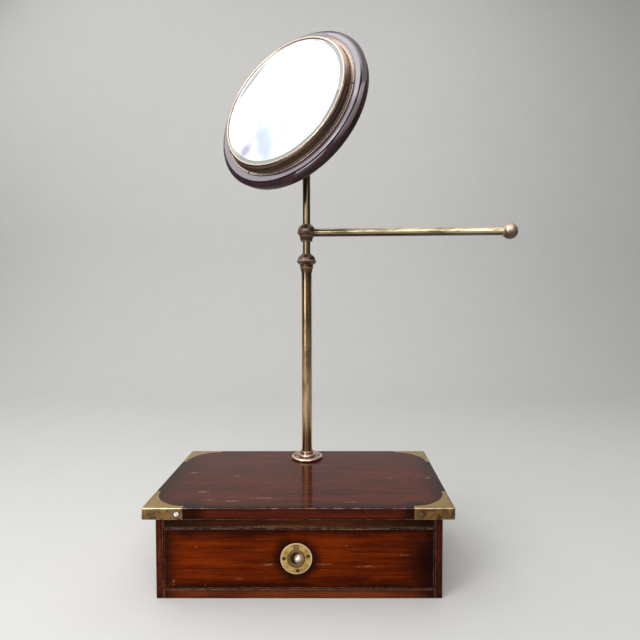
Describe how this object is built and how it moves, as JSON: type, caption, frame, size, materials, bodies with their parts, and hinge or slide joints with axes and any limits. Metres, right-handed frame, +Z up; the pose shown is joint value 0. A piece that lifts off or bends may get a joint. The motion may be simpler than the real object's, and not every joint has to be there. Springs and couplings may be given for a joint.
{
  "type": "dressing mirror",
  "caption": "Tabletop dressing mirror: round tilting glass on a telescopic brass pole with a swinging arm, standing on a mahogany drawer box with brass corner mounts.",
  "frame": {"origin": "centre of the box's flat underside", "axes": "+Z up along the pole, -Y toward the drawer's front, +X to the right as seen from the front"},
  "size_m": [0.4085, 0.1827, 0.6181],
  "materials": {
    "mahogany": "french polished, worn at the edges",
    "dark_mahogany": "dark polish, glossy",
    "drawer_lining": "bare planed wood",
    "sheet_brass": "tarnished cast brass, edges rubbed bright",
    "polished_brass": "drawn brass, rubbed bright",
    "brown_brass": "turned brass, brown patina",
    "bezel_brass": "spun brass, brown patina",
    "dark_steel": "blackened",
    "silvered_glass": "bevelled, silvered",
    "packing": "thin pine board"
  },
  "bodies": {
    "box": {"top_board": "mahogany", "case_side_left": "mahogany", "case_side_right": "mahogany", "case_back": "mahogany", "case_bottom": "mahogany", "case_rail": "mahogany", "corner_front_left": "sheet_brass", "corner_front_right": "sheet_brass", "corner_back_left": "sheet_brass", "corner_back_right": "sheet_brass", "corner_screws": "brown_brass", "pole_flange": "brown_brass", "flange_screws": "dark_steel", "lower_tube": "polished_brass", "clamp_ferrule": "brown_brass"},
    "knop": {"clamp_knop": "brown_brass"},
    "drawer": {"drawer_front": "mahogany", "drawer_side_left": "drawer_lining", "drawer_side_right": "drawer_lining", "drawer_back": "drawer_lining", "drawer_bottom": "drawer_lining", "pull_plate": "sheet_brass", "pull_screws": "dark_steel", "pull_pin": "brown_brass"},
    "ring": {"pull_ring": "brown_brass"},
    "slider": {"rod_foot_bush": "polished_brass"},
    "rod": {"rod_foot_nut": "polished_brass", "sliding_rod": "polished_brass", "rod_fork": "brown_brass", "pivot_bolt": "brown_brass", "pivot_washer": "polished_brass"},
    "nut": {"thumb_nut": "brown_brass"},
    "arm": {"arm_collar": "brown_brass", "arm_rod": "polished_brass", "arm_ball": "brown_brass", "arm_set_screw": "dark_steel"},
    "mirror": {"wooden_back": "dark_mahogany", "packing_board": "packing", "mirror_glass": "silvered_glass", "bezel": "bezel_brass", "bezel_screws": "dark_steel", "back_plate": "sheet_brass", "back_plate_screws": "brown_brass"}
  },
  "joints": [
    {"name": "drawer_slide", "type": "slide", "parent": "box", "child": "drawer", "axis": [0, -1, 0], "range_m": [0, 0.1]},
    {"name": "ring_lift", "type": "hinge", "parent": "drawer", "child": "ring", "pos_m": [-0.003, -0.0722, 0.05275], "axis": [-1, 0, 0], "range_deg": [0, 95]},
    {"name": "knop_turn", "type": "hinge", "parent": "box", "child": "knop", "pos_m": [0, 0.0585, 0.3387], "axis": [0, 0, 1], "range_deg": [0, 180]},
    {"name": "rod_lift", "type": "slide", "parent": "box", "child": "slider", "axis": [0, 0, 1], "range_m": [-0.014, 0.15]},
    {"name": "rod_swivel", "type": "hinge", "parent": "slider", "child": "rod", "pos_m": [0, 0.0585, 0.1252], "axis": [0, 0, 1], "continuous": true},
    {"name": "arm_swing", "type": "hinge", "parent": "rod", "child": "arm", "pos_m": [0, 0.0585, 0.3674], "axis": [0, 0, 1], "continuous": true},
    {"name": "mirror_tilt", "type": "hinge", "parent": "rod", "child": "mirror", "pos_m": [0, 0.0585, 0.5092], "axis": [-0.8329, 0.5534, 0], "range_deg": [-27, 60]},
    {"name": "thumb_nut_turn", "type": "hinge", "parent": "rod", "child": "nut", "pos_m": [0, 0.0585, 0.5092], "axis": [0.8329, -0.5534, 0], "range_deg": [-90, 90]}
  ]
}
